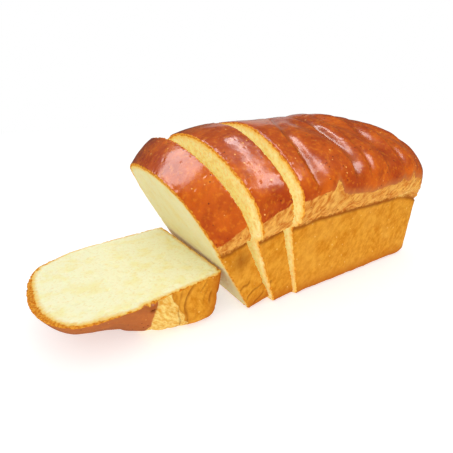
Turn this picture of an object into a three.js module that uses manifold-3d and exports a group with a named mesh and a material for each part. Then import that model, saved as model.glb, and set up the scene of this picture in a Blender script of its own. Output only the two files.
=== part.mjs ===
// A tin loaf with a glazed mushroom top, cut open at one end: the rest of the loaf, two
// slices that lean away from it, and the heel, which lies flat and props the slices.
// Millimetres, +Z up. X runs along the loaf, from the heel towards the uncut end, Y across
// it. The origin is on the table, under the middle of all the pieces.
import * as THREE from 'three';
import { mergeVertices } from 'three/addons/utils/BufferGeometryUtils.js';
import Module from 'manifold-3d';

// ---------------------------------------------------------------- driving dimensions
const PAN_BASE_HALF_WIDTH = 45;
const PAN_RIM_HALF_WIDTH = 47;
const PAN_DEPTH = 48;               // height of the collar, where the dough left the tin
const TOP_FRONT_HALF_WIDTH = 59;    // the mushroom top hangs over more at the front
const TOP_BACK_HALF_WIDTH = 54;
const TOP_WIDEST_HEIGHT = 68;
const LOAF_HEIGHT = 103;
const BASE_EDGE_RADIUS = 3.5;
const UNCUT_LENGTH = 115;           // base of the remaining loaf, from its cut to its end
const HEEL_THICKNESS = 29;
const SLICE_THICKNESS = 15.5;       // each leaning slice, along its base
const HEEL_TAPER = 10;              // how far each end wall leans out on its way to the rim
const FAR_TAPER = 13;
const FAR_SETBACK = 3;              // how far the mushroom top stands back from the far rim

const FRONT_ROUNDNESS = 1.65;       // exponents of the superellipses that shape the dome
const BACK_ROUNDNESS = 2.1;         // across it, towards the front and towards the back
const HEEL_ROUNDING = 72;           // how far from each end the ridge starts to fall
const FAR_ROUNDING = 90;
const CROWN_FLATNESS = 30;          // a high exponent keeps the ridge level up to there

const FAR_BASE_CORNER = 0.3;        // corner radii in plan, as shares of the half width:
const FAR_RIM_CORNER = 0.6;         // the far end keeps the tin's shape, and the heel gets
const HEEL_BASE_CORNER = 0.17;      // rounder all the way up
const HEEL_RIM_CORNER = 0.72;
const FAR_TOP_CORNER = 0.78;
const FULL_ROUND = 1;

const FAR_RIM_SAG = 12;             // how much the collar and the mushroom top sag at the
const FAR_TOP_SAG = 18;             // far end, and how far from it that begins
const FAR_SAG_LENGTH = 40;
const CROWN_FALL = 4;               // how much lower the crown is over the heel
const CROWN_FALL_START = -38;
const CROWN_FALL_FULL = -62;
const FRONT_DROP = 6;               // towards the heel the collar drops at the front and
const BACK_RISE = 17;               // climbs at the back, where the dough tore less
const SKEW_START = 20;              // where that begins, right of the cut, and where it is
const SKEW_FULL = -45;              // complete, left of it

const KNIFE_GAP = 0.35;             // clearance between pieces that touch
const LOAF_CUT_SLANT = 9;           // degrees, each cut leans a little more than the last
const INNER_CUT_SLANT = 12.5;
const OUTER_CUT_SLANT = 15.5;
const INNER_POSE = { lean: 4.2, turn: 0, slide: -0.4, across: 1.5 };
const OUTER_POSE = { lean: 10, turn: 1, slide: -1.7, across: 3.5 };
const HEEL_POSE = { turn: 2.5, rightEdge: -45.9, across: 6 };

const SWELL = 0.9;                  // broad unevenness of the top: its height, and its wave
const SWELL_LENGTH = 88;            // lengths along and across the loaf
const SWELL_BREADTH = 146;
const TORN_RIPPLE = 0.9;            // finer ripples of the torn band under the top and of
const WALL_RIPPLE = 0.3;            // the baked side walls
const RIPPLE_LENGTH = 20;
const RIPPLE_BREADTH = 27;
const RIPPLE_DRIFT = 0.4;           // how far the ripples shift sideways on their way

const MERIDIANS = 132;              // mesh lines from the base over the side to the crown
const BASE_RINGS = [0.4, 0.8];      // rings of the flat base, as shares of its size
const WALL_STEPS = 5;
const EDGE_STEPS = 3;
const SHRED_STEPS = 5;
const DOME_STEPS = 14;

const BREAD = new THREE.Color(0xc8722a);
const HEEL_BREAD = new THREE.Color(0xd9a24a);
const BREAD_ROUGHNESS = 0.5;

const { degToRad: radians, lerp: mix, smoothstep, clamp } = THREE.MathUtils;

// ---------------------------------------------------------------- the whole loaf's form
const heelBaseX = -(HEEL_THICKNESS + 2 * SLICE_THICKNESS);
const middleX = (UNCUT_LENGTH + heelBaseX) / 2;
const baseHalfLength = (UNCUT_LENGTH - heelBaseX) / 2;
const heelRimLength = baseHalfLength + HEEL_TAPER;
const farRimLength = baseHalfLength + FAR_TAPER;
const farTopLength = farRimLength - FAR_SETBACK;

// A level is one ring round the loaf: a rounded rectangle in plan, with its height, its
// half lengths towards the heel and the far end, its half widths towards the front and the
// back, and a corner radius for each end, as a share of the half width.
function level(z, heel, far, front, back, heelCorner, farCorner) {
  return { z, heel, far, front, back, heelCorner, farCorner };
}

function baseLevels() {
  const levels = [];
  const add = (z, inset, share) => {
    const length = (baseHalfLength - inset) * share;
    const width = (PAN_BASE_HALF_WIDTH - inset) * share;
    levels.push(level(z, length, length, width, width, HEEL_BASE_CORNER, FAR_BASE_CORNER));
  };
  for (const share of BASE_RINGS) {
    add(0, BASE_EDGE_RADIUS, share);
  }
  for (let i = 0; i <= EDGE_STEPS; i++) {
    const turn = (i / EDGE_STEPS) * Math.PI / 2;
    add(BASE_EDGE_RADIUS * (1 - Math.cos(turn)), BASE_EDGE_RADIUS * (1 - Math.sin(turn)), 1);
  }
  return levels;
}

function wallLevels() {
  const levels = [];
  for (let i = 1; i <= WALL_STEPS; i++) {
    const rise = i / WALL_STEPS;
    const width = mix(PAN_BASE_HALF_WIDTH, PAN_RIM_HALF_WIDTH, rise);
    levels.push(level(
      mix(BASE_EDGE_RADIUS, PAN_DEPTH, rise),
      mix(baseHalfLength, heelRimLength, rise),
      mix(baseHalfLength, farRimLength, rise),
      width,
      width,
      mix(HEEL_BASE_CORNER, HEEL_RIM_CORNER, rise * rise),
      mix(FAR_BASE_CORNER, FAR_RIM_CORNER, rise),
    ));
  }
  return levels;
}

// Above the tin the dough swells out over the rim in a quarter turn.
function tornLevels() {
  const levels = [];
  for (let i = 1; i <= SHRED_STEPS; i++) {
    const turn = (i / SHRED_STEPS) * Math.PI / 2;
    const out = Math.sin(turn);
    levels.push(level(
      mix(PAN_DEPTH, TOP_WIDEST_HEIGHT, 1 - Math.cos(turn)),
      heelRimLength,
      mix(farRimLength, farTopLength, out),
      mix(PAN_RIM_HALF_WIDTH, TOP_FRONT_HALF_WIDTH, out),
      mix(PAN_RIM_HALF_WIDTH, TOP_BACK_HALF_WIDTH, out),
      mix(HEEL_RIM_CORNER, FULL_ROUND, out),
      mix(FAR_RIM_CORNER, FAR_TOP_CORNER, out),
    ));
  }
  return levels;
}

function domeLevels() {
  const levels = [];
  const narrowed = (rise, roundness) => (1 - rise ** roundness) ** (1 / roundness);
  const shortened = (rise, length, rounding) => {
    const roundEnd = rounding * Math.sqrt(1 - rise * rise);
    return roundEnd + (length - rounding) * (1 - rise ** CROWN_FLATNESS);
  };
  for (let i = 1; i < DOME_STEPS; i++) {
    const rise = Math.sin((i / DOME_STEPS) * Math.PI / 2);
    levels.push(level(
      mix(TOP_WIDEST_HEIGHT, LOAF_HEIGHT, rise),
      shortened(rise, heelRimLength, HEEL_ROUNDING),
      shortened(rise, farTopLength, FAR_ROUNDING),
      TOP_FRONT_HALF_WIDTH * narrowed(rise, FRONT_ROUNDNESS),
      TOP_BACK_HALF_WIDTH * narrowed(rise, BACK_ROUNDNESS),
      FULL_ROUND,
      mix(FAR_TOP_CORNER, FULL_ROUND, Math.sqrt(rise)),
    ));
  }
  return levels;
}

// How far a ray from the middle of a rounded rectangle towards (x, y) runs to its edge, in
// lengths of (x, y).
function reachOf(halfLength, halfWidth, radius, x, y) {
  const [awayX, awayY] = [Math.max(Math.abs(x), 1e-9), Math.max(Math.abs(y), 1e-9)];
  const toSide = Math.min(halfLength / awayX, halfWidth / awayY);
  const cornerX = halfLength - radius;
  const cornerY = halfWidth - radius;
  if (toSide * awayX <= cornerX || toSide * awayY <= cornerY) return toSide;
  const along = awayX * cornerX + awayY * cornerY;
  const size = awayX ** 2 + awayY ** 2;
  const rest = cornerX ** 2 + cornerY ** 2 - radius ** 2;
  return (along + Math.sqrt(Math.max(along ** 2 - size * rest, 0))) / size;
}

// Each level has a spine along its middle, as long as its straight stretch. Every mesh line
// starts from a share of the spine and leaves it in its own direction.
function placeOn(ring, heading) {
  const halfLength = heading.share < 0 ? ring.heel : ring.far;
  const halfWidth = heading.y < 0 ? ring.front : ring.back;
  const corner = heading.share < 0 ? ring.heelCorner : ring.farCorner;
  const spine = Math.max(halfLength - Math.max(ring.front, ring.back), 0);
  const radius = Math.min(corner * halfWidth, halfLength - spine);
  const reach = reachOf(halfLength - spine, halfWidth, radius, heading.x, heading.y);
  return [heading.share * spine + heading.x * reach, heading.y * reach];
}

// The headings are spaced evenly round the edge of the mushroom top, each front one opposite
// a back one.
function meshHeadings() {
  const width = (TOP_FRONT_HALF_WIDTH + TOP_BACK_HALF_WIDTH) / 2;
  const spine = (heelRimLength + farTopLength) / 2 - width;
  const arc = width * Math.PI / 2;
  const quarter = arc + spine;
  const quarterSteps = MERIDIANS / 4;
  const headings = [];
  for (let i = 0; i < MERIDIANS; i++) {
    const quadrant = Math.floor(i / quarterSteps);
    const step = i - quadrant * quarterSteps;
    const fromEnd = quadrant % 2 === 0 ? step : quarterSteps - step;
    const length = (fromEnd / quarterSteps) * quarter;
    const side = quadrant < 2 ? 1 : -1;
    const end = quadrant === 0 || quadrant === 3 ? 1 : -1;
    if (length < arc) {
      const turn = length / width;
      headings.push({ share: end, x: end * Math.cos(turn), y: side * Math.sin(turn) });
    } else {
      headings.push({ share: end * (1 - (length - arc) / spine), x: 0, y: side });
    }
  }
  return headings;
}

// ---------------------------------------------------------------- unevenness
// The dough was laid in the tin in rolls, so shallow creases run down from the ridge between
// them: where each meets the ridge, its slant and bend over the width, its depth and width.
const CREASES = [
  { x: 14, slant: -0.18, bend: 0.004, depth: 1.9, width: 6 },
  { x: 41, slant: -0.2, bend: 0.005, depth: 2.2, width: 6.5 },
  { x: 62, slant: -0.22, bend: 0.006, depth: 1.9, width: 6 },
  { x: 81, slant: -0.24, bend: 0.007, depth: 1.8, width: 6 },
  { x: 101, slant: -0.24, bend: 0.007, depth: 1.4, width: 6 },
];

const CREASE_BAND = { from: 2, full: 18 };      // heights above the widest level
const RIDGE_BAND = { from: 6, full: 26 };       // distances from the ridge, to either side
const WALL_BAND = { from: 1, full: 10 };        // heights above the table
const BAND_EDGE = 4;                            // half the blend between two finishes

const wave = (distance, length) => Math.sin((2 * Math.PI * distance) / length);

function creases(x, y, z) {
  const height = z - TOP_WIDEST_HEIGHT;
  const onDome = smoothstep(height, CREASE_BAND.from, CREASE_BAND.full);
  const besideRidge = smoothstep(Math.abs(y), RIDGE_BAND.from, RIDGE_BAND.full);
  let depth = 0;
  for (const crease of CREASES) {
    const away = (x - crease.x - crease.slant * y - crease.bend * y * y) / crease.width;
    depth += crease.depth * Math.exp(-away * away);
  }
  return depth * onDome * besideRidge;
}

function relief(x, y, z) {
  const swell = wave(x + z, SWELL_LENGTH) * wave(y + z, SWELL_BREADTH);
  const drift = RIPPLE_DRIFT * (x + z);
  const ripple = wave(x + drift, RIPPLE_LENGTH) * wave(y - drift, RIPPLE_BREADTH);
  const aboveRim = smoothstep(z, PAN_DEPTH - BAND_EDGE, PAN_DEPTH + BAND_EDGE);
  const inGlaze = smoothstep(z, TOP_WIDEST_HEIGHT - BAND_EDGE, TOP_WIDEST_HEIGHT + BAND_EDGE);
  const onWall = smoothstep(z, WALL_BAND.from, WALL_BAND.full) * (1 - aboveRim);
  const onTorn = aboveRim * (1 - inGlaze);
  return SWELL * swell * aboveRim
    + (TORN_RIPPLE * onTorn + WALL_RIPPLE * onWall) * ripple
    - creases(x, y, z);
}

// At the far end the collar sags towards the table, and the mushroom top sags more.
function farSag(x, z) {
  const nearEnd = smoothstep(x - middleX, farRimLength - FAR_SAG_LENGTH, farRimLength);
  const upWall = clamp(z / PAN_DEPTH, 0, 1);
  const upTop = clamp((z - PAN_DEPTH) / (TOP_WIDEST_HEIGHT - PAN_DEPTH), 0, 1);
  const belowCrown = clamp((LOAF_HEIGHT - z) / (LOAF_HEIGHT - TOP_WIDEST_HEIGHT), 0, 1);
  return mix(FAR_RIM_SAG * upWall, FAR_TOP_SAG, upTop) * nearEnd * belowCrown;
}

function crownFall(x, z) {
  const aboveRim = clamp((z - PAN_DEPTH) / (LOAF_HEIGHT - PAN_DEPTH), 0, 1);
  return CROWN_FALL * aboveRim * smoothstep(-x, -CROWN_FALL_START, -CROWN_FALL_FULL);
}

// The collar slopes across the loaf, more and more towards the heel.
function skew(x, y, z) {
  const share = smoothstep(-x, -SKEW_START, -SKEW_FULL);
  const side = clamp(y / PAN_RIM_HALF_WIDTH, -1, 1);
  const fade = Math.min(z / PAN_DEPTH, (LOAF_HEIGHT - z) / (LOAF_HEIGHT - PAN_DEPTH));
  return share * fade * side * (side < 0 ? FRONT_DROP : BACK_RISE);
}

function wholeLoaf() {
  const levels = [...baseLevels(), ...wallLevels(), ...tornLevels(), ...domeLevels()];
  const headings = meshHeadings();
  const positions = [middleX, 0, 0];
  for (const ring of levels) {
    for (const heading of headings) {
      const [x, y] = placeOn(ring, heading);
      positions.push(middleX + x, y, ring.z);
    }
  }
  const faces = [];
  for (let i = 0; i < MERIDIANS; i++) {
    const next = (i + 1) % MERIDIANS;
    faces.push(0, 1 + next, 1 + i);
    for (let ring = 0; ring < levels.length - 1; ring++) {
      const low = 1 + ring * MERIDIANS;
      const high = low + MERIDIANS;
      faces.push(low + i, low + next, high + next, low + i, high + next, high + i);
    }
  }
  closeCrown(faces, 1 + (levels.length - 1) * MERIDIANS);
  const geometry = new THREE.BufferGeometry();
  geometry.setAttribute('position', new THREE.Float32BufferAttribute(positions, 3));
  geometry.setIndex(faces);
  geometry.computeVertexNormals();
  unevenOut(geometry);
  return geometry;
}

// The crown's last ring is closed by a strip across it, from each back point to the front
// point opposite.
function closeCrown(faces, start) {
  const half = MERIDIANS / 2;
  for (let i = 0; i < half; i++) {
    const [back, nextBack] = [start + i, start + i + 1];
    const [front, nextFront] = [start + (MERIDIANS - i) % MERIDIANS, start + MERIDIANS - i - 1];
    if (nextBack !== nextFront) faces.push(back, nextBack, nextFront);
    if (front !== back) faces.push(back, nextFront, front);
  }
}

// Pushes every point above the table in or out along its normal, then shifts its height.
const ON_TABLE = 0.01;
function unevenOut(geometry) {
  const place = geometry.attributes.position;
  const normal = geometry.attributes.normal;
  for (let i = 0; i < place.count; i++) {
    const [x, y, z] = [place.getX(i), place.getY(i), place.getZ(i)];
    if (z < ON_TABLE) continue;
    const height = relief(x, y, z);
    const shift = skew(x, y, z) - farSag(x, z) - crownFall(x, z);
    place.setX(i, x + height * normal.getX(i));
    place.setY(i, y + height * normal.getY(i));
    place.setZ(i, z + height * normal.getZ(i) + shift);
  }
}

// ---------------------------------------------------------------- cutting
const wasm = await Module();
wasm.setup();

const MERGE_DISTANCE = 1e-4;
function solidOf(geometry) {
  const bare = geometry.clone();
  bare.deleteAttribute('normal');
  bare.deleteAttribute('uv');
  const merged = mergeVertices(bare, MERGE_DISTANCE);
  return new wasm.Manifold(new wasm.Mesh({
    numProp: 3,
    vertProperties: new Float32Array(merged.attributes.position.array),
    triVerts: new Uint32Array(merged.index.array),
  }));
}

function geometryOf(solid) {
  const mesh = solid.getMesh();
  const geometry = new THREE.BufferGeometry();
  geometry.setAttribute('position', new THREE.BufferAttribute(new Float32Array(mesh.vertProperties), 3));
  geometry.setIndex(new THREE.BufferAttribute(new Uint32Array(mesh.triVerts), 1));
  return geometry;
}

// A block whose face crosses the table at baseX and leans back towards -X by the slant.
const BLOCK = 600;
function blockBeside(baseX, slant, side) {
  const block = new THREE.BoxGeometry(BLOCK, BLOCK, BLOCK);
  block.translate(side * BLOCK / 2, 0, 0);
  block.rotateY(-radians(slant));
  block.translate(baseX, 0, 0);
  return solidOf(block);
}
const keepRight = (solid, baseX, slant) => solid.intersect(blockBeside(baseX, slant, 1));
const keepLeft = (solid, baseX, slant) => solid.intersect(blockBeside(baseX, slant, -1));

// ---------------------------------------------------------------- the pieces
const whole = solidOf(wholeLoaf());
const group = new THREE.Group();

function addPiece(name, geometry, color) {
  const material = new THREE.MeshStandardMaterial({ color, roughness: BREAD_ROUGHNESS, metalness: 0 });
  const mesh = new THREE.Mesh(geometry, material);
  mesh.name = name;
  group.add(mesh);
}

// A slice tips over its lower left edge, then turns a little and slides to its place.
function tipped(solid, edgeX, pose) {
  const geometry = geometryOf(solid);
  geometry.translate(-edgeX, 0, 0);
  geometry.rotateY(-radians(pose.lean));
  geometry.rotateZ(radians(pose.turn));
  geometry.translate(edgeX + pose.slide, pose.across, 0);
  return geometry;
}

// The heel lies on the flat wall that stood against the tin's end. Its cut leaned more than
// that wall, so the heel is thick at its base and its cut face falls towards the crown.
function laidFlat(solid, cutX, pose) {
  const wallSlant = Math.atan(HEEL_TAPER / (PAN_DEPTH - BASE_EDGE_RADIUS));
  const geometry = geometryOf(solid);
  geometry.translate(-cutX, 0, 0);
  geometry.rotateY(wallSlant - Math.PI / 2);
  geometry.rotateZ(radians(pose.turn));
  geometry.computeBoundingBox();
  const { min, max } = geometry.boundingBox;
  geometry.translate(pose.rightEdge - max.x, pose.across, -min.z);
  return geometry;
}

const innerEdge = -SLICE_THICKNESS;
const outerEdge = -2 * SLICE_THICKNESS;
const uncut = keepRight(whole, 0, LOAF_CUT_SLANT);
const innerBlank = keepLeft(whole, -KNIFE_GAP, LOAF_CUT_SLANT);
const innerSlice = keepRight(innerBlank, innerEdge, INNER_CUT_SLANT);
const outerBlank = keepLeft(whole, innerEdge - KNIFE_GAP, INNER_CUT_SLANT);
const outerSlice = keepRight(outerBlank, outerEdge, OUTER_CUT_SLANT);
const heel = keepLeft(whole, outerEdge, OUTER_CUT_SLANT);

addPiece('loaf', geometryOf(uncut), BREAD);
addPiece('inner_slice', tipped(innerSlice, innerEdge, INNER_POSE), BREAD);
addPiece('outer_slice', tipped(outerSlice, outerEdge, OUTER_POSE), BREAD);
addPiece('heel', laidFlat(heel, outerEdge, HEEL_POSE), HEEL_BREAD);

// So far X was measured from the loaf's cut. The origin moves to the middle of the table
// area that the pieces cover together.
const cover = new THREE.Box3().setFromObject(group);
const middle = cover.getCenter(new THREE.Vector3());
for (const mesh of group.children) {
  mesh.geometry.translate(-middle.x, -middle.y, 0);
}

export default group;
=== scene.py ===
# %% [markdown]
# # A cut tin loaf
# An enriched white loaf with an egg-washed mushroom top. Part of it is cut: two slices lean
# away from the rest, and the heel lies flat and props them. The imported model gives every
# piece its size and place, so here each piece only gets its fine surface and its finish.

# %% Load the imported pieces
import math
import bmesh
import bpy
import numpy as np
from mathutils import Matrix, Vector, noise
from mathutils.bvhtree import BVHTree


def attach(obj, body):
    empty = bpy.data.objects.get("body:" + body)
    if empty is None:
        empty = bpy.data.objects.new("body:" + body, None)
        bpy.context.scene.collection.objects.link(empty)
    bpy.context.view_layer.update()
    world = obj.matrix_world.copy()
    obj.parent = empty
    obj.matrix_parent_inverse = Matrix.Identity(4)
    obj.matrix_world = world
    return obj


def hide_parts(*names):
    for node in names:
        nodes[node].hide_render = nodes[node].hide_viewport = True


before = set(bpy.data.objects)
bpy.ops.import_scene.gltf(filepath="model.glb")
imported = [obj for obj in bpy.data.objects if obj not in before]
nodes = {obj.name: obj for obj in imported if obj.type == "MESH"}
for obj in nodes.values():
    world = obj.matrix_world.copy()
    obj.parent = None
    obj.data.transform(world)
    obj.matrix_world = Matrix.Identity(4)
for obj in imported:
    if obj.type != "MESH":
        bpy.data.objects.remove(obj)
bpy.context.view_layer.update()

MM = 0.001
print("pieces:", sorted(nodes))

# %% [markdown]
# ## The loaf's own coordinates
# A crust is baked on the whole loaf, before any cut. Each piece is therefore turned back to
# where it was in the loaf, and patterns are worked out there, so they run on across the cuts.
# Turning back needs only the angles by which a piece leans and turns, and the edge on the
# table that it is measured from. A slice keeps its left edge, and the heel its right one.

# %% Poses
COLLAR = 48.0                  # heights in the whole loaf, in millimetres
WIDEST = 68.0
CROWN = 103.0
SLICE = 15.5                   # thickness of a slice along its base
HEEL_TAPER = 10.0              # how far the heel's end wall leans out on its way to the collar
BASE_EDGE = 3.5                # radius of the edge round the base, where the wall starts
HEEL_WALL_SLANT = math.degrees(math.atan(HEEL_TAPER / (COLLAR - BASE_EDGE)))
BASE_LAYER = 0.1               # points this little above the lowest one lie on the base
POSES = {                      # degrees of lean and turn, and the edge that x is kept from
    "loaf": {"lean": 0.0, "turn": 0.0, "edge": 0.0, "side": min},
    "inner_slice": {"lean": 4.2, "turn": 0.0, "edge": -SLICE, "side": min},
    "outer_slice": {"lean": 10.0, "turn": 1.0, "edge": -2 * SLICE, "side": min},
    "heel": {"lean": 90.0 - HEEL_WALL_SLANT, "turn": 2.5, "edge": -2 * SLICE, "side": max},
}


def points_of(mesh):
    """A mesh's vertices as rows of x, y and z, in millimetres."""
    flat = np.zeros(len(mesh.vertices) * 3)
    mesh.vertices.foreach_get("co", flat)
    return flat.reshape(-1, 3) / MM


def turned_back(points, pose):
    """Points of a piece after its lean and turn are undone."""
    back = Matrix.Rotation(math.radians(pose["lean"]), 3, "Y")
    back = back @ Matrix.Rotation(-math.radians(pose["turn"]), 3, "Z")
    return points @ np.array(back).T


def loaf_shift(name):
    """What takes a piece's turned-back points to the whole loaf's coordinates."""
    pose = POSES[name]
    points = turned_back(points_of(nodes[name].data), pose)
    low = points[:, 2].min()
    base = points[points[:, 2] < low + BASE_LAYER]
    middle = (base[:, 1].min() + base[:, 1].max()) / 2
    return np.array([pose["edge"] - pose["side"](base[:, 0]), -middle, -low])


shifts = {name: loaf_shift(name) for name in POSES}
for name, shift in shifts.items():
    print(name, "shift back, mm:", np.round(shift, 1))

# %% [markdown]
# ## The sloping collar
# Towards the heel the dough rose more at the back than at the front, and it sagged at the far
# end, so its rim isn't level. Working out the height that a point had before that gives its
# level: 48 at the rim of the tin, 68 at the widest and 103 at the crown, all round the loaf.

# %% Levels
MIDDLE_X = 27.5                # middle of the whole loaf, from the loaf's cut
FAR_RIM = 100.5                # from there to the far rim
RIM_HALF_WIDTH = 47.0
SKEW_START, SKEW_FULL = 20, -45          # x where the collar starts to tilt, and tilts fully
FRONT_DROP, BACK_RISE = 6, 17
RIM_SAG, TOP_SAG = 12, 18                # at the far end, over the length below
SAG_LENGTH = 40
CROWN_FALL = 4                           # over the heel, between the two x below
FALL_START, FALL_FULL = -38, -62
LEVEL_ROUNDS = 4               # the sag depends on the level, so the level is found in rounds


def smooth(value, low, high):
    """0 below low, 1 above high, and smooth between."""
    share = np.clip((value - low) / (high - low), 0, 1)
    return share * share * (3 - 2 * share)


def height_shift(x, y, level):
    """How much higher a point of this level lies than it would in an even loaf."""
    toward_heel = smooth(-x, -SKEW_START, -SKEW_FULL)
    fade = np.minimum(level / COLLAR, (CROWN - level) / (CROWN - COLLAR))
    across = np.clip(y / RIM_HALF_WIDTH, -1, 1)
    skew = toward_heel * fade * across * np.where(across < 0, FRONT_DROP, BACK_RISE)
    near_end = smooth(x - MIDDLE_X, FAR_RIM - SAG_LENGTH, FAR_RIM)
    up_wall = RIM_SAG * np.clip(level / COLLAR, 0, 1)
    up_top = np.clip((level - COLLAR) / (WIDEST - COLLAR), 0, 1)
    below_crown = np.clip((CROWN - level) / (CROWN - WIDEST), 0, 1)
    sag = (up_wall + (TOP_SAG - up_wall) * up_top) * near_end * below_crown
    above_rim = np.clip((level - COLLAR) / (CROWN - COLLAR), 0, 1)
    return skew - sag - CROWN_FALL * above_rim * smooth(-x, -FALL_START, -FALL_FULL)


def whole_loaf_place(points, name):
    """x, y and level of a piece's points in the whole loaf."""
    place = turned_back(points, POSES[name]) + shifts[name]
    level = place[:, 2].copy()
    for _ in range(LEVEL_ROUNDS):
        level = place[:, 2] - height_shift(place[:, 0], place[:, 1], level)
    return np.column_stack([place[:, :2], np.clip(level, 0, CROWN)])


far_collar = COLLAR + height_shift(MIDDLE_X + FAR_RIM, 0.0, COLLAR)
print("height of the collar at the far end, mm:", round(float(far_collar), 1))

# %% [markdown]
# ## Camera
# The camera looks down a little on the loaf's front and on the cut end. It comes before the
# pieces, because everything else is judged from it. Its aim is measured from the corner of
# the uncut loaf's base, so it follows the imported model.

# %% Camera
# Angles are in degrees, and lengths in millimetres.
VIEW = {"azimuth": -28.96, "elevation": 19.89, "roll": -2.81, "distance": 208.92}
AIM = Vector((-17.21, 7.72, 33.21))
FOCAL = 24.184
SENSOR = 36.0
NEAREST = 0.01                 # metres

azimuth, elevation, roll = (math.radians(VIEW[key]) for key in ("azimuth", "elevation", "roll"))
back = Vector((
    math.sin(azimuth) * math.cos(elevation),
    -math.cos(azimuth) * math.cos(elevation),
    math.sin(elevation),
))
level_right = (-back).cross(Vector((0, 0, 1))).normalized()
level_up = level_right.cross(-back)
right = math.cos(roll) * level_right + math.sin(roll) * level_up
up = math.cos(roll) * level_up - math.sin(roll) * level_right
cut_corner = Vector((-shifts["loaf"][0], -shifts["loaf"][1], 0))
eye = (cut_corner + AIM + back * VIEW["distance"]) * MM

camera_data = bpy.data.cameras.new("camera")
camera_data.lens = FOCAL
camera_data.sensor_width = SENSOR
camera_data.clip_start = NEAREST
camera = bpy.data.objects.new("camera", camera_data)
camera.matrix_world = Matrix.Translation(eye) @ Matrix((right, up, back)).transposed().to_4x4()
bpy.context.scene.collection.objects.link(camera)
bpy.context.scene.camera = camera
print("camera at", [round(value, 3) for value in eye])

# %% [markdown]
# ## A fine copy of each piece
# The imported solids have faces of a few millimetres. A subdivision surface would pull in the
# sharp edges of the cuts. A voxel remesh gives even faces under a millimetre that stay
# watertight, which is what pores, tears and ripples need.

# %% Even faces
VOXELS = {"loaf": 0.95, "inner_slice": 0.62, "outer_slice": 0.62, "heel": 0.62}
WELD = 1e-6                    # metres


def fine_copy(name):
    """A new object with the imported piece's form and even, fine faces."""
    sheet = bmesh.new()
    sheet.from_mesh(nodes[name].data)
    bmesh.ops.remove_doubles(sheet, verts=sheet.verts, dist=WELD)
    mesh = bpy.data.meshes.new(name + "_bread")
    sheet.to_mesh(mesh)
    sheet.free()
    piece = bpy.data.objects.new(name + "_bread", mesh)
    bpy.context.scene.collection.objects.link(piece)
    remesh = piece.modifiers.new("even_faces", "REMESH")
    remesh.mode = "VOXEL"
    remesh.voxel_size = VOXELS[name] * MM
    evaluated = piece.evaluated_get(bpy.context.evaluated_depsgraph_get())
    dense = bpy.data.meshes.new_from_object(evaluated)
    piece.modifiers.clear()
    piece.data = dense
    bpy.data.meshes.remove(mesh)
    return piece


pieces = {name: fine_copy(name) for name in POSES}
for piece in pieces.values():
    print(piece.name, len(piece.data.polygons), "faces")

# %% [markdown]
# ## The knife's cuts
# Three cuts go through the loaf, and each leans towards the heel a little more than the last.
# Picking their faces by hand would have to be done again after each change of the model. A
# point's distance to its piece's nearest cut tells crumb from crust by itself.

# %% Distance from the cuts
KNIFE_GAP = 0.35
LOAF_CUT, INNER_CUT, OUTER_CUT = 9.0, 12.5, 15.5     # slants in degrees
CUTS = {                       # where each cut meets the table, and its slant
    "loaf": [(0.0, LOAF_CUT)],
    "inner_slice": [(-KNIFE_GAP, LOAF_CUT), (-SLICE, INNER_CUT)],
    "outer_slice": [(-SLICE - KNIFE_GAP, INNER_CUT), (-2 * SLICE, OUTER_CUT)],
    "heel": [(-2 * SLICE, OUTER_CUT)],
}
CRUMB_END, CRUST_START = 0.25, 0.75      # millimetres from a cut


def cut_distance(place, cut):
    """Millimetres from a cut's plane. The plane leans towards the heel as it rises."""
    edge, slant = cut
    slope = math.radians(slant)
    return (place[:, 0] - edge) * math.cos(slope) + place[:, 2] * math.sin(slope)


def away_from_cut(points, name):
    """Millimetres from each point to the nearest cut of its piece."""
    place = turned_back(points, POSES[name]) + shifts[name]
    return np.min([np.abs(cut_distance(place, cut)) for cut in CUTS[name]], axis=0)


def crumb_share(away):
    """1 on the cut faces and 0 on the crust, with a soft step between."""
    return 1 - smooth(away, CRUMB_END, CRUST_START)


for name in POSES:
    on_cut = crumb_share(away_from_cut(points_of(nodes[name].data), name)) > 0.5
    print(name, "has", on_cut.sum(), "packed points on its cuts")

# %% [markdown]
# ## Smooth crust, flat cuts
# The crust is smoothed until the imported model's faces no longer show. A modifier would need a
# vertex group to spare the cuts, so chosen vertices are drawn together here instead. The cut
# faces are left flat, as a knife leaves them, and last their edges are rounded a little.

# %% Smooth
SMOOTH_ROUNDS = 24
EDGE_BAND = 2.5                # millimetres on either side of a cut's edge
EDGE_ROUNDS = 3


def smooth_points(sheet, chosen, rounds):
    """Draws each chosen vertex halfway to its neighbours, in a number of rounds."""
    vertices = [sheet.verts[i] for i in np.flatnonzero(chosen)]
    for _ in range(rounds):
        bmesh.ops.smooth_vert(
            sheet, verts=vertices, factor=0.5, use_axis_x=True, use_axis_y=True, use_axis_z=True
        )


def soften(piece, away):
    """Smooths the crust, and then rounds the edges where crust and cut meet."""
    sheet = bmesh.new()
    sheet.from_mesh(piece.data)
    sheet.verts.ensure_lookup_table()
    smooth_points(sheet, away > CRUST_START, SMOOTH_ROUNDS)
    smooth_points(sheet, away < EDGE_BAND, EDGE_ROUNDS)
    sheet.to_mesh(piece.data)
    sheet.free()


for name, piece in pieces.items():
    away = away_from_cut(points_of(piece.data), name)
    soften(piece, away)
    print(name, "crust smoothed at", (away > CRUST_START).sum(), "points")

# %% [markdown]
# ## Where each finish lies
# Four finishes meet on a piece: crumb on the cuts, glaze on the dome, a torn band where the
# dough tore as it rose over the tin, and the matte side that the tin gave. Each vertex keeps
# its distance to the borders in millimetres, and relief and colour both read that, so that a
# dent and its stain fall in one place.

# %% Noise
SEED_STEP = (17.3, 31.1, 5.7)  # each pattern has a seed of its own, so that no two are alike


def cloud(place, size, seed):
    """Smooth noise from -1 to 1 with lumps of about this size in millimetres."""
    offset = Vector([seed * step for step in SEED_STEP])
    scaled = place / size
    return np.array([noise.noise(Vector(row) + offset) for row in scaled])


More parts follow.
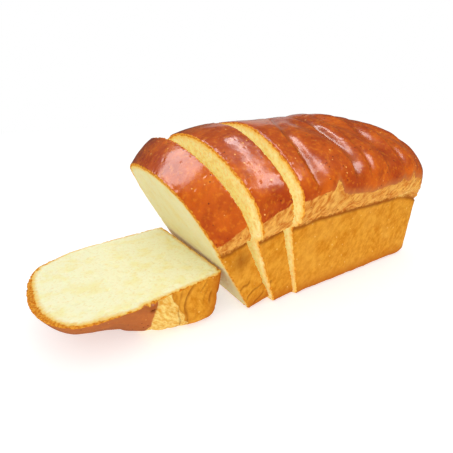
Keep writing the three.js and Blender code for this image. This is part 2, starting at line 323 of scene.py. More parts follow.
middle = np.array([[MIDDLE_X, 0.0, WIDEST]])
print("noise in the loaf's middle:", round(float(cloud(middle, 10.0, 1)[0]), 2))

# %% Lower edge of the glaze
FRONT_STEP = -10, 25           # millimetres in front of the middle, from back to front
GLAZE_EDGE = 66.0
FAR_GLAZE_DROP = 5.0           # the wash reaches lower on the far half of the loaf
FAR_GLAZE_X = 5, 30            # starting here, and fully here
SLICE_GLAZE_DROP = 5.5         # it runs down the front of the slices, in two steps, which
SLICE_GLAZE_LEFT = 8, 30       # start and end this far left of the loaf's cut
END_GLAZE_DROP = 6.5
END_GLAZE_LEFT = 27, 42
HEEL_GLAZE_DROP = 13.0         # and is lowest on the front of the heel
POINTED_TEARS = [(14.6, 6.5, 2.6), (71.0, 3.0, 2.4), (80.0, 4.5, 2.0)]  # x, height, width


def front_side(place):
    """1 on the loaf's front, 0 on its back."""
    return smooth(-place[:, 1], *FRONT_STEP)


def heel_front(place, name):
    """1 on the front of the heel, where the dough tore low, and 0 everywhere else."""
    return front_side(place) * (name == "heel")


def glaze_height(place, name):
    """Millimetres above the wavy lower edge of the glaze."""
    along = place * (1, 1, 0)
    edge = GLAZE_EDGE + 1.6 * cloud(along, 14, 1) + 0.9 * cloud(along, 4.5, 2)
    edge -= FAR_GLAZE_DROP * smooth(place[:, 0], *FAR_GLAZE_X)
    toward_heel = SLICE_GLAZE_DROP * smooth(-place[:, 0], *SLICE_GLAZE_LEFT)
    toward_heel += END_GLAZE_DROP * smooth(-place[:, 0], *END_GLAZE_LEFT)
    edge -= toward_heel * front_side(place)
    edge -= HEEL_GLAZE_DROP * heel_front(place, name)
    for x, height, width in POINTED_TEARS:
        near = np.exp(-(((place[:, 0] - x) / width) ** 2))
        edge += height * near * (place[:, 1] < 0)
    return place[:, 2] - edge


front_line = np.array([[x, -50.0, 0.0] for x in (-20.0, 0.0, 40.0, 80.0)])
print("edge of the glaze along the front, mm:", np.round(-glaze_height(front_line, "loaf")))

# %% Upper edge of the tin side
HEEL_TIN_DROP = 17.0           # on the heel's front the torn dough reaches down to a slanting
HEEL_TIN_SLOPE = 0.68          # line: its drop at this x, and how that changes along x
HEEL_TIN_X = -41.6


def tin_depth(place, name):
    """Millimetres below the ragged rim that stood at the top of the tin."""
    along = place * (1, 1, 0)
    rim = COLLAR + 0.8 * cloud(along, 11, 3) + 0.5 * cloud(along, 3, 4)
    heel_drop = HEEL_TIN_DROP - HEEL_TIN_SLOPE * (place[:, 0] - HEEL_TIN_X)
    heel_drop += 3.0 * cloud(place, 6, 21)
    return rim - heel_front(place, name) * heel_drop - place[:, 2]


print("edge of the tin side along the front, mm:", np.round(tin_depth(front_line, "loaf")))

# %% [markdown]
# ## Creases across the dome
# Grooves run across the top between the rolls of dough. A groove falls steeply on its left and
# rises in a soft shoulder on its right. A curve for each could be cut into the mesh, but a
# formula in x and y follows the dome by itself and fades out above the torn band.

# %% Creases
CREASES = [  # x at the ridge, slant, bend over the half width, depth, width
    (12.1, -0.71, 0.0094, 1.8, 2.4),
    (27.0, 0.0, 0.0, 2.5, 2.8),
    (43.0, -0.12, 0.0010, 1.3, 2.2),
    (57.0, 0.05, -0.0010, 1.6, 2.6),
    (71.0, 0.0, 0.0, 1.4, 2.4),
    (90.0, 0.0, -0.0010, 1.1, 2.8),
]
RIDGE_ROUND = 6.0              # slants turn this gently where they cross the ridge
STEEP_SIDE = 0.5               # a groove's sides, as shares of its width
GENTLE_SIDE = 1.9
CREASE_START, CREASE_FULL = WIDEST - 3, WIDEST + 8
GROOVE_DARKENING = 0.5
FULL_DARK_DEPTH = 2.0              # a groove this deep is darkened fully


def crease_relief(place):
    """Grooves between the rolls of dough: steep on the left, with a soft shoulder beyond."""
    x, y, level = place.T
    across = np.sqrt(y * y + RIDGE_ROUND**2) - RIDGE_ROUND
    wander = 1.6 * cloud(place * (1, 1, 0), 22, 5) + 0.6 * cloud(place, 8, 16)
    height = np.zeros(len(place))
    for at, slant, bend, depth, width in CREASES:
        away = x + wander - at - slant * across - bend * across * across
        side = np.where(away < 0, STEEP_SIDE, GENTLE_SIDE)
        height -= depth * np.exp(-((away / (width * side)) ** 2))
    return height * smooth(level, CREASE_START, CREASE_FULL)


def groove_darkness(place):
    """Darker in the grooves, the more so the deeper they are."""
    return GROOVE_DARKENING * np.clip(-crease_relief(place) / FULL_DARK_DEPTH, 0, 1) ** 2


print("creases cross the ridge at x", [crease[0] for crease in CREASES])

# %% [markdown]
# ## Marks of this one loaf
# A few marks aren't spread by a rule: three cracks in the slices' tin side, a browned patch
# above them, a browned knot of dough on the heel with a dark hollow in it, the folds of the
# heel's wall, and pale torn dough on the heel and at the far end of the collar. Each is a
# soft spot, a thin line or a bent ripple at its place in the loaf.

# %% Cracks, knot and pale dough
CRACKS = [  # from x and height to x and height, half width
    ((-37.0, 17.0), (-28.0, 20.5), 0.6),
    ((-31.5, 10.0), (-17.0, 16.5), 0.7),
    ((-27.0, 3.0), (-20.5, 8.5), 0.5),
]
CRACK_WANDER = 1.6
FRONT_WALL = -30               # y in front of which the cracks lie
BROWN_PATCH = ((-31.0, -46.0, 38.0), 6.0)      # middle and radius, here and below
KNOT = ((-43.5, -46.0, 44.0), 3.6)
KNOT_HOLLOW = ((-46.4, -45.8, 42.5), 1.3)
PALE_FLAP = ((86.0, -50.0, 51.0), 5.5)
FOLD_PITCH = 4.6               # the heel's wall folded as it was pressed down
FOLD_WANDER = 5.5
FOLD_GAPS = -0.3, 0.4          # noise below the first leaves folds out, above the second none
FOLD_SHARPNESS = 3
FOLDS_TOP = 28.0               # the folds brown only below the torn dough
DARK = {"crack": 0.6, "patch": 0.6, "knot": 0.45, "hollow": 1.4, "fold": 0.6}


def spot(place, centre, radius):
    """1 at a spot's middle, fading out past its radius."""
    away = np.linalg.norm(place - np.array(centre), axis=1)
    return np.exp(-((away / radius) ** 2))


def line(place, start, end, half_width):
    """1 on a wandering line across the front of the tin side, 0 off it."""
    wander = np.column_stack([cloud(place, 5, 15), cloud(place, 4, 20)])
    side = place[:, [0, 2]] + CRACK_WANDER * wander
    start, end = np.array(start), np.array(end)
    run = end - start
    share = np.clip((side - start) @ run / (run @ run), 0, 1)
    away = np.linalg.norm(side - start - share[:, None] * run, axis=1)
    return np.exp(-((away / half_width) ** 2)) * (place[:, 1] < FRONT_WALL)


def crack_lines(place, name):
    """1 along the cracks, which only the slices have."""
    if name not in ("inner_slice", "outer_slice"):
        return np.zeros(len(place))
    return np.max([line(place, start, end, width) for start, end, width in CRACKS], axis=0)


def heel_folds(place, name):
    """1 in the folds that run down the heel's front wall."""
    if name != "heel":
        return np.zeros(len(place))
    folds = np.sin(2 * np.pi * (place[:, 2] + FOLD_WANDER * cloud(place, 14, 18)) / FOLD_PITCH)
    patchy = smooth(cloud(place, 8, 22), *FOLD_GAPS)
    return heel_front(place, name) * patchy * np.maximum(folds, 0) ** FOLD_SHARPNESS


def darkness(place, name):
    """Where the crust is darker: cracks, grooves, folds, a brown patch, the knot and its hollow.
    """
    dark = np.maximum(DARK["crack"] * crack_lines(place, name), groove_darkness(place))
    if name == "outer_slice":
        dark = np.maximum(dark, DARK["patch"] * spot(place, *BROWN_PATCH))
    if name == "heel":
        dark = np.maximum(dark, DARK["knot"] * spot(place, *KNOT))
        dark = np.maximum(dark, DARK["hollow"] * spot(place, *KNOT_HOLLOW))
        folds = heel_folds(place, name) * (place[:, 2] < FOLDS_TOP)
        dark = np.maximum(dark, DARK["fold"] * folds)
    return dark


def paleness(place, name):
    """Where torn dough stayed pale."""
    return np.maximum(heel_front(place, name), spot(place, *PALE_FLAP))


print("darkest mark:", max(DARK, key=DARK.get))

# %% [markdown]
# ## Under the crust
# A cut shows a thin brown rim, and the crumb turns golden and coarser close under it. A tree
# of the crust's triangles gives each point of a cut face its distance to the nearest crust.
# The rim is widest over the heel's crown, where the knife ran almost along the crust.

# %% Rim and depth
THIN_RIM = 0.6
DOME_RIM = 1.2
CROWN_RIM = 4.4
CROWN_START = CROWN - 6
CROWN_STEP = -34, 2            # millimetres in front of the middle, from back to front


def rim_width(place, name):
    """Millimetres of brown rim that a cut shows: widest over the crown of the heel."""
    width = THIN_RIM + (DOME_RIM - THIN_RIM) * smooth(place[:, 2], COLLAR, WIDEST)
    if name == "heel":
        crown = smooth(place[:, 2], WIDEST, CROWN_START) * smooth(-place[:, 1], *CROWN_STEP)
        width += (CROWN_RIM - DOME_RIM) * crown
    return width


def crust_tree(name):
    """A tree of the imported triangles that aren't on a cut."""
    mesh = nodes[name].data
    points = points_of(mesh)
    crumb = crumb_share(away_from_cut(points, name))
    corners = np.zeros(len(mesh.loops), dtype=int)
    mesh.loops.foreach_get("vertex_index", corners)
    triangles = corners.reshape(-1, 3)
    crust = triangles[crumb[triangles].min(axis=1) < 0.5]
    return BVHTree.FromPolygons([tuple(p) for p in points], [tuple(map(int, t)) for t in crust])


def depth_under_crust(points, name, crumb):
    """Millimetres from the points of a cut to the crust, and 0 on the crust itself."""
    tree = crust_tree(name)
    depth = np.zeros(len(points))
    for i in np.flatnonzero(crumb > 0):
        depth[i] = tree.find_nearest(Vector(points[i]))[3]
    return depth


crown_point = np.array([[-45.0, -10.0, CROWN]])
print("rim over the heel's crown, mm:", round(float(rim_width(crown_point, "heel")[0]), 1))

# %% [markdown]
# ## Relief
# Every finish has its own unevenness, at its true scale: creases and pits in the glaze,
# slanted tears in the torn band, faint ripples where the dough lay against the tin, crumbs
# and nicks along the cut edges, and pores in the crumb. All of it moves the vertices along
# their normals, so that it is in the mesh and not only in the shading. The crumb's pores only
# go inwards, because another piece may lie a third of a millimetre away.

# %% Relief of the crust
TEAR_SLANT = math.radians(38)  # the tears lean to the right as they rise
TEAR_STRETCH = 0.4             # and are drawn out that way
PIT_DEPTH = 0.3
LUMP_HEIGHT, TEAR_DEPTH, STRAND_DEPTH = 0.6, 1.2, 0.6
UNDERCUT_DEPTH = 1.3           # a dark line runs just above the rim of the tin
UNDERCUT_RISE, UNDERCUT_WIDTH = 1.0, 1.4
FOLD_DEPTH, CRACK_DEPTH = 0.9, 0.25
NICK_HEIGHT, NICK_REACH = 0.6, 1.4


def glaze_relief(place):
    swell = 0.5 * cloud(place, 19, 6) + 0.13 * cloud(place, 7, 7) + 0.05 * cloud(place, 2.4, 17)
    pits = -PIT_DEPTH * smooth(cloud(place, 1.9, 8), 0.55, 0.75)
    return swell + pits + crease_relief(place)


def torn_relief(place):
    turn = np.array(Matrix.Rotation(-TEAR_SLANT, 3, "Y"))
    slanted = (place @ turn.T) * (1, 1, TEAR_STRETCH)
    tears = -np.abs(cloud(slanted, 3.6, 9))
    strands = -np.abs(cloud(slanted, 1.6, 10))
    lumps = cloud(place, 7, 19)
    undercut = np.exp(-(((place[:, 2] - COLLAR - UNDERCUT_RISE) / UNDERCUT_WIDTH) ** 2))
    raised = LUMP_HEIGHT * lumps + TEAR_DEPTH * tears + STRAND_DEPTH * strands
    return raised - UNDERCUT_DEPTH * undercut


def tin_relief(place, name):
    plain = 0.36 * cloud(place, 9, 11) + 0.15 * cloud(place, 2.6, 12)
    plain = plain - FOLD_DEPTH * heel_folds(place, name)
    return plain - CRACK_DEPTH * crack_lines(place, name)


def edge_relief(place, away):
    """Crumbs and nicks that the knife left along the edges of the crust."""
    return NICK_HEIGHT * cloud(place, 2.0, 23) * np.exp(-((away / NICK_REACH) ** 2))


print("tears and strands, mm deep:", TEAR_DEPTH, STRAND_DEPTH)

# %% Pores of the crumb
WIDE_PORE, FINE_PORE = 0.75, 0.42        # depths in millimetres
INNER_COARSENESS, ADDED_COARSENESS = 0.6, 0.7
COARSE_DEPTH = 3.0


def crumb_relief(place, depth):
    """Pores: rare wide ones and many fine ones, coarser towards the crust."""
    wide = smooth(cloud(place, 3.4, 13), 0.34, 0.62)
    fine = smooth(cloud(place, 1.5, 14), 0.1, 0.6)
    coarse = INNER_COARSENESS + ADDED_COARSENESS * np.exp(-depth / COARSE_DEPTH)
    return -(WIDE_PORE * wide + FINE_PORE * fine) * coarse


deepest = (WIDE_PORE + FINE_PORE) * (INNER_COARSENESS + ADDED_COARSENESS)
print("deepest pore, mm:", round(deepest, 2))

# %% [markdown]
# ## Shaping the pieces
# The reliefs are blended by the borders, the vertices are moved, and nothing is let below the
# table. Then the borders and marks are stored on the vertices for the finishes to read.

# %% Shape and mark
BLEND = 0.8                    # half the width over which two finishes' reliefs blend
KNOT_HEIGHT = 2.4
FAR_FROM_CUT = 9.0


def store(mesh, name, values):
    """Keeps one number or vector for each vertex under a name."""
    kind = "FLOAT_VECTOR" if values.ndim == 2 else "FLOAT"
    key = "vector" if values.ndim == 2 else "value"
    attribute = mesh.attributes.new(name, kind, "POINT")
    attribute.data.foreach_set(key, values.astype(np.float32).ravel())


def move_out(mesh, points, relief):
    """Moves the vertices along their normals, but none below the table."""
    normals = np.zeros(len(points) * 3)
    mesh.vertices.foreach_get("normal", normals)
    moved = points + normals.reshape(-1, 3) * relief[:, None]
    moved[:, 2] = np.maximum(moved[:, 2], 0)
    mesh.vertices.foreach_set("co", (moved * MM).ravel())
    mesh.update()


def shape(name):
    """Gives a piece its relief, and keeps the borders and marks for its finish."""
    mesh = pieces[name].data
    points = points_of(mesh)
    place = whole_loaf_place(points, name)
    away = away_from_cut(points, name)
    crumb = crumb_share(away)
    depth = depth_under_crust(points, name, crumb)
    glaze = glaze_height(place, name)
    tin = tin_depth(place, name)
    on_glaze = smooth(glaze, -BLEND, BLEND)
    on_tin = smooth(tin, -BLEND, BLEND)
    crust = on_glaze * glaze_relief(place)
    crust += on_tin * tin_relief(place, name)
    crust += (1 - on_glaze) * (1 - on_tin) * torn_relief(place)
    if name == "heel":
        crust += KNOT_HEIGHT * (spot(place, *KNOT) - spot(place, *KNOT_HOLLOW))
    crust += edge_relief(place, away)
    relief = (1 - crumb) * crust + crumb * crumb_relief(place, depth)
    move_out(mesh, points, relief)
    borders = {"cut": np.minimum(away, FAR_FROM_CUT), "depth": depth, "glaze": glaze, "tin": tin}
    marks = {"rim": rim_width(place, name), "pale": paleness(place, name)}
    marks["dark"] = darkness(place, name)
    # painted shade: the outer slice's cut faces down over the heel, so its crumb is marked to be
    # painted darker
    marks["painted_outer_shade"] = np.full(len(place), float(name == "outer_slice"))
    for key, values in {"place": place, **borders, **marks}.items():
        store(mesh, key, values)
    mesh.polygons.foreach_set("use_smooth", [True] * len(mesh.polygons))
    return relief


for name in pieces:
    relief = shape(name)
    print(name, "relief from", round(relief.min(), 2), "to", round(relief.max(), 2), "mm")

# %% [markdown]
# ## Shader arithmetic
# A finish is easier to read as expressions than as a web of nodes. A Wire is one output
# socket, and adding or multiplying Wires adds Math nodes. A Finish is one material, and its
# node method adds any other node. Colours go through Mix nodes, which keep all three channels.

# %% Wires
class Wire:
    def __init__(self, finish, socket):
        self.finish = finish
        self.socket = socket

    def math(self, operation, *values):
        inputs = dict(enumerate(values))
        return self.finish.node("ShaderNodeMath", {"operation": operation}, inputs)

    def __add__(self, other):
        return self.math("ADD", self, other)

    def __sub__(self, other):
        return self.math("SUBTRACT", self, other)

    def __rsub__(self, other):
        return self.math("SUBTRACT", other, self)

    def __mul__(self, other):
        return self.math("MULTIPLY", self, other)

    __radd__ = __add__
    __rmul__ = __mul__

    def rises(self, low, high):
        """0 below low, 1 above high, and smooth between."""
        inputs = {"Value": self, "From Min": low, "From Max": high}
        return self.finish.node("ShaderNodeMapRange", {"interpolation_type": "SMOOTHSTEP"}, inputs)


print("Wires are added, subtracted and multiplied")


# %% Finishes
class Finish:
    def __init__(self, owner):
        """Clears the nodes of a new material or world, to be filled again."""
        self.owner = owner
        self.owner.use_nodes = True
        self.tree = self.owner.node_tree
        self.tree.nodes.clear()

    def node(self, kind, settings=None, inputs=None, output=0):
        """Any node: its settings come first, then the values or Wires of its inputs."""
        made = self.tree.nodes.new(kind)
        for key, value in (settings or {}).items():
            setattr(made, key, value)
        for key, value in (inputs or {}).items():
            if isinstance(value, Wire):
                self.tree.links.new(value.socket, made.inputs[key])
            else:
                made.inputs[key].default_value = value
        return Wire(self, made.outputs[output])

    def marked(self, name, output="Fac"):
        """What the vertices keep under this name."""
        return self.node("ShaderNodeAttribute", {"attribute_name": name}, output=output)

    def mix(self, share, first, second):
        """Two colours mixed. A Mix node's colour sockets are 6 and 7, and its result is 2."""
        inputs = {0: share, 6: first, 7: second}
        return self.node("ShaderNodeMix", {"data_type": "RGBA"}, inputs, output=2)

    def slanted(self, vector, length):
        """Coordinates in which a pattern is drawn out along the tears."""
        inputs = {"Vector": vector, "Rotation": (0, TEAR_SLANT, 0), "Scale": (1, 1, length)}
        return self.node("ShaderNodeMapping", {"vector_type": "TEXTURE"}, inputs)

    def cloud(self, vector, size, detail=3.0, roughness=0.55):
        """Noise from 0 to 1 with lumps of about this size in millimetres."""
        inputs = {"Vector": vector, "Scale": 1 / size, "Detail": detail, "Roughness": roughness}
        return self.node("ShaderNodeTexNoise", None, inputs)

    def cells(self, vector, size):
        """Distance to the nearest of some scattered points, 0 on the point itself."""
        return self.node("ShaderNodeTexVoronoi", None, {"Vector": vector, "Scale": 1 / size})

    def surfaced(self, shader, kind="ShaderNodeOutputMaterial"):
        """Ends the finish with this shader and returns its material or world."""
        output = self.tree.nodes.new(kind)
        self.tree.links.new(shader.socket, output.inputs["Surface"])
        return self.owner


def paint(red, green, blue):
    """A display colour from 0 to 255 as the linear one that a shader takes."""
    linear = []
    for value in (red, green, blue):
        share = value / 255
        linear.append(share / 12.92 if share <= 0.04045 else ((share + 0.055) / 1.055) ** 2.4)
    return (*linear, 1.0)


print("a display grey of 128 is", round(paint(128, 128, 128)[0], 3), "in a shader")

# %% [markdown]
# ## Glaze
# Baked egg wash is a clear film over brown crust. Its colour is the crust's: amber and deep
# brown in broad patches, darker on the back, with freckles, streaks along the tears, dark
# pits and a few pale bubbles. Near its edge the wash is thin and dull, and there, and on the
# heel's front, a pinkish brown is mixed in as a painted reflection of the white floor.

# %% Glaze
GLAZE = {
    "deep": paint(173, 60, 0),
    "amber": paint(216, 100, 2),
    "back": paint(128, 42, 0),
    "freckle": paint(238, 140, 20),
    "streak": paint(164, 60, 0),
    # painted reflection of the white floor, over a thin dull wash
    "thin_wash_and_sheen": paint(192, 120, 66),
    "pit": paint(104, 36, 6),
    "bubble": paint(250, 184, 96),
}


def glaze_colour(finish, place, back, thin_wash_and_sheen):
    tone = finish.cloud(place, 22, 5, 0.62).rises(0.32, 0.68)
    base = finish.mix(tone, GLAZE["deep"], GLAZE["amber"])
    base = finish.mix(back * 0.75, base, GLAZE["back"])
    freckle = finish.cloud(place, 2.2, 3).rises(0.5, 0.7)
    base = finish.mix(freckle * 0.4, base, GLAZE["freckle"])
    streaks = finish.cloud(finish.slanted(place, 2.2), 4.5, 4).rises(0.5, 0.72)
    base = finish.mix(streaks * 0.6, base, GLAZE["streak"])
    # thin wash near its edge, with the floor's painted reflection mixed in
    base = finish.mix(thin_wash_and_sheen * 0.65, base, GLAZE["thin_wash_and_sheen"])
    pits = finish.cells(place, 4.4).rises(0.04, 0.13)
    base = finish.mix(pits, GLAZE["pit"], base)
    bubbles = finish.cells(finish.slanted(place, 0.8), 5.6).rises(0.05, 0.11)
    return finish.mix(bubbles, GLAZE["bubble"], base)


print("glaze:", len(GLAZE), "colours")

# %% [markdown]
# ## Torn crust
# Where the dough tore it has no wash: matte strands of gold and brown that follow the tears,
# with pale patches, scorched ones and small holes. On the heel it stayed pale and flaky.

# %% Torn crust
TORN = {
    "brown_strand": paint(198, 112, 36),
    "gold_strand": paint(240, 178, 84),
    "pale_patch": paint(244, 190, 96),
    "scorch": paint(190, 98, 28),
    "hole": paint(160, 84, 26),
    "flaky_shade": paint(228, 164, 62),
    "flaky": paint(252, 224, 134),
}


def torn_colour(finish, place, pale):
    strands = finish.cloud(finish.slanted(place, 2.7), 1.9, 5, 0.66).rises(0.35, 0.65)
    base = finish.mix(strands, TORN["brown_strand"], TORN["gold_strand"])
    patches = finish.cloud(place, 8, 4).rises(0.46, 0.68)
    base = finish.mix(patches * 0.55, base, TORN["pale_patch"])
    scorch = finish.cloud(finish.slanted(place, 1.6), 5, 4).rises(0.54, 0.7)
    base = finish.mix(scorch * 0.5, base, TORN["scorch"])
    holes = finish.cells(place, 3.8).rises(0.06, 0.16)
    base = finish.mix(holes, TORN["hole"], base)
    flaky = finish.mix(strands, TORN["flaky_shade"], TORN["flaky"])
    return finish.mix(pale, base, flaky)


print("torn crust:", len(TORN), "colours")

# %% [markdown]
# ## Tin side
# The dough baked against the tin to an even, matte gold with a fine mottle. It is browner
# along the base, has a painted shadow just under the collar, and is rubbed pale in small spots.

# %% Tin side
TIN = {
    "gold": paint(204, 124, 20),
    "light_gold": paint(230, 160, 50),
    "broad": paint(240, 176, 70),
    "base": paint(190, 106, 24),
    "rubbed": paint(248, 206, 116),
    # painted shadow under the overhanging collar
    "under_rim": paint(158, 88, 20),
}


def tin_colour(finish, place, level, below_rim, pale):
    mottle = finish.cloud(finish.slanted(place, 1.5), 3.0, 7, 0.7).rises(0.34, 0.66)
    base = finish.mix(mottle, TIN["gold"], TIN["light_gold"])
    broad = finish.cloud(place, 20, 4).rises(0.4, 0.7)
    base = finish.mix(broad * 0.4, base, TIN["broad"])
    base = finish.mix(level.rises(0, 12), TIN["base"], base)
    rubbed = finish.cells(place, 5.2).rises(0.06, 0.13)
    base = finish.mix((1 - rubbed) * 0.55, base, TIN["rubbed"])
    # painted shadow: darker just under the collar, less where the dough is pale
    painted_collar_shadow = (1 - below_rim.rises(0.4, 3.4)) * (1 - pale * 0.7)
    return finish.mix(painted_collar_shadow, base, TIN["under_rim"])


print("tin side:", len(TIN), "colours")

# %% [markdown]
# ## Crumb
# Crumb is pale and matte, with yellow patches and darker pores. Between the slices it is
# painted warmer, mottled and faintly glowing, as painted light that reaches it through bread.
# The outer slice's cut faces down over the heel, and its crumb is painted a deeper cream as
# painted shade. At the edge comes the ragged brown rim of the crust.

# %% Crumb
CRUMB = {
    "cream": paint(253, 250, 208),
    "shaded_cream": paint(236, 227, 178),
    # the shaded cream and yellow are painted shade for the outer slice's cut
    "yellow": paint(250, 238, 160),
    "shaded_yellow": paint(234, 216, 146),
    # painted light: the colour of the crumb in the gaps between the slices
    "between": paint(250, 239, 174),
    "painted_gap_mottle": paint(238, 200, 106),
    "pore": paint(238, 204, 112),
    "under_rim": paint(244, 202, 104),
    "brown_rim": paint(206, 120, 24),
    "gold_rim": paint(233, 161, 54),
}


def crumb_colour(finish, place, depth, rim, between, painted_outer_shade):
    patches = finish.cloud(place, 9, 3).rises(0.46, 0.7)
    # painted shade: the outer slice's crumb takes the darker cream and yellow
    light = finish.mix(painted_outer_shade, CRUMB["cream"], CRUMB["shaded_cream"])
    yellow = finish.mix(painted_outer_shade, CRUMB["yellow"], CRUMB["shaded_yellow"])
    base = finish.mix(patches * 0.6, light, yellow)
    # painted light between the slices: a warmer colour, then a mottle of it
    base = finish.mix(between * 0.7, base, CRUMB["between"])
    gap_mottle_spots = finish.cloud(place, 3.0, 4, 0.65).rises(0.46, 0.6)
    base = finish.mix(gap_mottle_spots * between * 0.45, base, CRUMB["painted_gap_mottle"])
    pores = finish.cloud(place, 1.5, 4, 0.6).rises(0.5, 0.7)
    base = finish.mix(pores * (0.35 + between * 0.25), base, CRUMB["pore"])
    ragged = depth + (finish.cloud(place, 2.0, 4) - 0.5) * 2.6 - rim
    base = finish.mix(ragged.rises(0.0, 3.0), CRUMB["under_rim"], base)
    baked = finish.cloud(place, 1.2, 3).rises(0.4, 0.6)
    crust = finish.mix(baked, CRUMB["brown_rim"], CRUMB["gold_rim"])
    return finish.mix(ragged.rises(-0.3, 0.4), crust, base)


print("crumb:", len(CRUMB), "colours")

# %% [markdown]
# ## Bread
# One material holds all four finishes and blends them by the marked borders, since on real
# bread they melt into each other. Its gloss is a coat with low roughness, only where there is
# wash. The rest is matte and lets light in a little. In the narrow gaps between the slices
# the crumb is painted warmer and given a faint glow: painted light that stands in for light
# coming through the slices.

# %% Bread
CUT_SLOPE = math.tan(math.radians(INNER_CUT))
# from here on the crumb between the slices gets painted light
BETWEEN_START, BETWEEN_FULL = -28, -20   # x at the table where the crumb between slices begins
GLAZE_FRAY, TIN_FRAY, CUT_FRAY = 2.4, 2.0, 1.8       # millimetres by which the borders fray
CRUMB_BAND = 0.6               # crumb reaches this far round a cut's edge
THIN_BAND = 5                  # height over which the wash is thin
BLACK = (0.0, 0.0, 0.0, 1.0)


def bread(name):
    finish = Finish(bpy.data.materials.new(name))
    place = finish.marked("place", "Vector")
    along, across, level = (
        finish.node("ShaderNodeSeparateXYZ", None, {0: place}, output=axis) for axis in range(3)
    )
    fray = finish.cloud(place, 1.6, 3) - 0.5
    glaze, tin = finish.marked("glaze"), finish.marked("tin")
    on_glaze = (glaze + fray * GLAZE_FRAY).rises(-0.5, 0.5)
    on_tin = (tin + fray * TIN_FRAY).rises(-0.6, 0.6)
    on_crumb = (CRUMB_BAND + fray * CUT_FRAY - finish.marked("cut")).rises(-0.12, 0.12)
    pale = finish.marked("pale")
    # where the wash is thin and dull, and where the floor's reflection is painted into the glaze
    thin_wash_and_sheen = (1 - glaze.rises(0, THIN_BAND)) * along.rises(0, 24) + pale
    torn = torn_colour(finish, place, pale)
    glazed = glaze_colour(finish, place, across.rises(-12, 42), thin_wash_and_sheen)
    crust = finish.mix(on_tin, torn, tin_colour(finish, place, level, tin, pale))
    crust = finish.mix(on_glaze, crust, glazed)
    crust = finish.mix(finish.marked("dark"), crust, paint(138, 64, 10))
    between = (along + level * CUT_SLOPE).rises(BETWEEN_START, BETWEEN_FULL)
    depth, rim, painted_outer_shade = (finish.marked(mark) for mark in ("depth", "rim", "painted_outer_shade"))
    inside = crumb_colour(finish, place, depth, rim, between, painted_outer_shade)
    colour = finish.mix(on_crumb, crust, inside)
    # painted light: the crumb between the slices glows faintly, though it is no lamp
    painted_glow = finish.mix(on_crumb * between, BLACK, inside)
    shiny = on_glaze * (1 - on_crumb) * (1 - thin_wash_and_sheen * 0.6)
    grain = finish.cloud(place, 0.9, 4, 0.7) * (1 - shiny * 0.8)
    peel = finish.cloud(place, 2.6, 3) * shiny
    bump = finish.node(
        "ShaderNodeBump", None, {"Strength": 0.6, "Distance": 0.0004, "Height": grain + peel}
    )
    shader = finish.node("ShaderNodeBsdfPrincipled", None, {
        "Base Color": colour,
        "Roughness": 0.75 - shiny * 0.3,
        "Specular IOR Level": 0.04,
        "Coat Weight": shiny * 0.85,
        "Coat Roughness": 0.2,
        "Emission Color": painted_glow,
        "Emission Strength": 0.14,
        "Subsurface Weight": 0.12,
        "Subsurface Radius": (1.0, 0.5, 0.2),
        "Subsurface Scale": 0.003,
        "Normal": bump,
    })
    return finish.surfaced(shader)


bread_finish = bread("bread")
for piece in pieces.values():
    piece.data.materials.clear()
    piece.data.materials.append(bread_finish)
print("finish:", bread_finish.name, len(bread_finish.node_tree.nodes), "nodes")

# %% [markdown]
# ## Ride and replace
# Each fine piece stands for its imported node and moves with the loaf's one body.

# %% Hide the imported pieces and attach the fine ones
for name, piece in pieces.items():
    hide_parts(name)
    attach(piece, "root")
print("handed over:", sorted(piece.name for piece in pieces.values()))

# %% [markdown]
# ## Floor
# A plain pale floor runs far past the view, and glows a little, as a product table does. It
# stays out of the gloss, because a white floor would lay a milky film over the foot of the
# dome.

# %% Floor
FLOOR_HALF = 6                 # metres

floor_sheet = bmesh.new()
bmesh.ops.create_grid(floor_sheet, x_segments=1, y_segments=1, size=FLOOR_HALF)
floor_mesh = bpy.data.meshes.new("floor")
floor_sheet.to_mesh(floor_mesh)
floor_sheet.free()
floor = bpy.data.objects.new("floor", floor_mesh)
bpy.context.scene.collection.objects.link(floor)
floor.visible_glossy = False
floor_finish = Finish(bpy.data.materials.new("floor"))
floor_shader = floor_finish.node("ShaderNodeBsdfPrincipled", None, {
    "Base Color": paint(206, 206, 204),
    "Roughness": 0.9,
    "Specular IOR Level": 0.0,
    "Emission Color": (1.0, 1.0, 1.0, 1.0),
    "Emission Strength": 0.56,
})
floor_mesh.materials.append(floor_finish.surfaced(floor_shader))
print("floor:", floor.dimensions.x, "m wide")

# %% [markdown]
# ## Lights
# One wide lamp and a fill light the bread softly. A glossy crust shows its lamps as patches,
# so the patches have softboxes of their own, which light nothing else: one over the slices,
# one at the front right, a strip above the grooves, and a dim one behind.

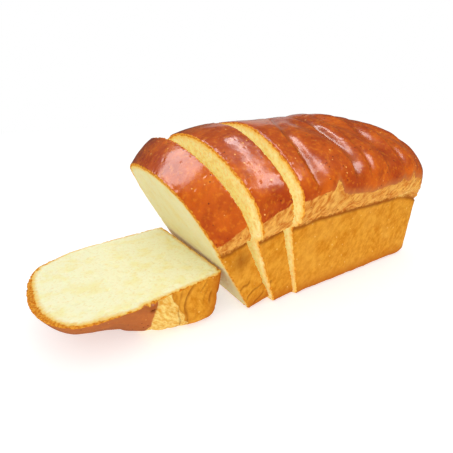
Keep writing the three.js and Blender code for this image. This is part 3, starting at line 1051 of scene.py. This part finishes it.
# %% Lights
SOFT_LAMPS = {  # direction from the loaf, distance, length and width in metres, power in watts
    "key": ((-0.1, -0.4, 0.9), 1.6, (1.5, 1.5), 7.5),
    "front_fill": ((-0.5, -0.8, 0.34), 1.3, (1.2, 1.2), 1.8),
}
GLOSS_LAMPS = {
    "slice_softbox": ((-0.45, 0.26, 0.85), 1.0, (0.66, 0.66), 9.0),
    "front_softbox": ((0.28, -0.55, 0.78), 1.0, (0.36, 0.36), 3.8),
    "groove_softbox": ((0.2, -0.02, 0.98), 1.0, (0.12, 0.8), 3.4),
    "back_softbox": ((0.5, 0.72, 0.42), 1.0, (0.4, 0.4), 0.25),
}


def area_lamp(name, direction, distance, sides, power):
    """A lamp that faces the loaf, with its first side along the loaf and the second across."""
    data = bpy.data.lights.new(name, "AREA")
    data.shape = "RECTANGLE"
    data.size, data.size_y = sides
    data.energy = power
    lamp = bpy.data.objects.new(name, data)
    toward = Vector(direction).normalized()
    along = Vector((0, 1, 0)).cross(toward).normalized()
    facing = Matrix((along, toward.cross(along), toward)).transposed().to_4x4()
    lamp.matrix_world = Matrix.Translation(toward * distance) @ facing
    bpy.context.scene.collection.objects.link(lamp)
    print("light:", name, power, "W")
    return lamp


for name, settings in SOFT_LAMPS.items():
    area_lamp(name, *settings).visible_glossy = False
for name, settings in GLOSS_LAMPS.items():
    area_lamp(name, *settings).visible_diffuse = False

# %% [markdown]
# ## Room
# A glazed crust mirrors whatever stands round it. A white room would lay a milky film over
# it, so its gloss sees a dim room. The room's soft light on everything else is bright, and
# the backdrop that is looked at directly is white.

# %% Room
ROOM_LIGHT = 0.75
ROOM_IN_GLOSS = 0.08
room = Finish(bpy.data.worlds.new("room"))
looked_at = room.node("ShaderNodeLightPath", output="Is Camera Ray")
mirrored = room.node("ShaderNodeLightPath", output="Is Glossy Ray")
strength = looked_at * (1 - ROOM_LIGHT) + mirrored * (ROOM_IN_GLOSS - ROOM_LIGHT) + ROOM_LIGHT
backdrop = room.node("ShaderNodeBackground", None, {"Color": (1, 1, 1, 1), "Strength": strength})
bpy.context.scene.world = room.surfaced(backdrop, "ShaderNodeOutputWorld")
bpy.context.scene.view_settings.view_transform = "Standard"
print("room light", ROOM_LIGHT, "and in the gloss", ROOM_IN_GLOSS)

# %% [markdown]
# ## Sizes
# Relief moves the surface by a millimetre or two, so the loaf should stay about as large as the
# packed one.

# %% Boxes as plain numbers
def plain(box):
    return [[float(value) for value in corner] for corner in box]
